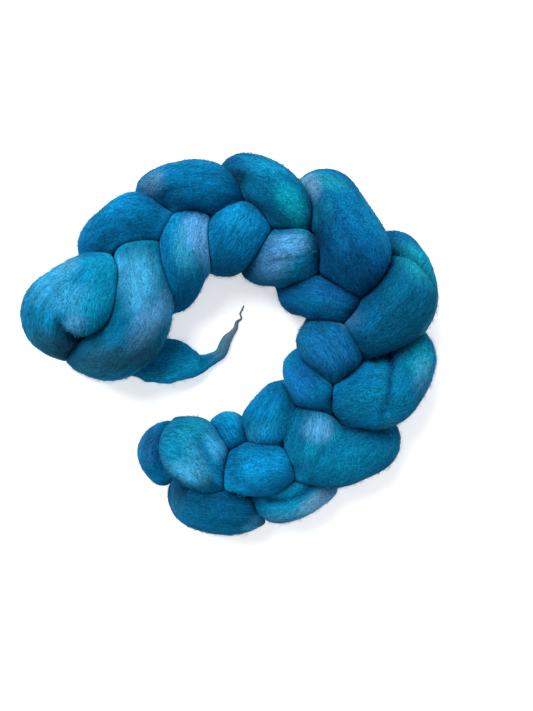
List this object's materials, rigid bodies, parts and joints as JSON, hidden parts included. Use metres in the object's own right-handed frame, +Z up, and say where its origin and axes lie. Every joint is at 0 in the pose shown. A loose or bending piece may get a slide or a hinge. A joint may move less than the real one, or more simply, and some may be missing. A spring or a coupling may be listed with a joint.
{
  "type": "braided wool roving",
  "caption": "Length of combed wool roving looped through itself into a thick chain braid, lying in a C, with its last end drawn out as a flat tapering wisp.",
  "frame": {"origin": "on the surface it lies on, under the middle of its plan", "axes": "+Z up; +X along the longest extent, from the puffed knob of the last loop towards the outside of the C; +Y towards the top of the C"},
  "size_m": [0.2403, 0.2244, 0.0503],
  "materials": {
    "dyed_wool": "soft combed wool, variegated teal and blue, matt with a faint sheen",
    "wisp_wool": "thin combed wool, teal fading to grey, matt"
  },
  "bodies": {
    "root": {"braid": "dyed_wool", "loose_end": "wisp_wool"}
  },
  "joints": []
}
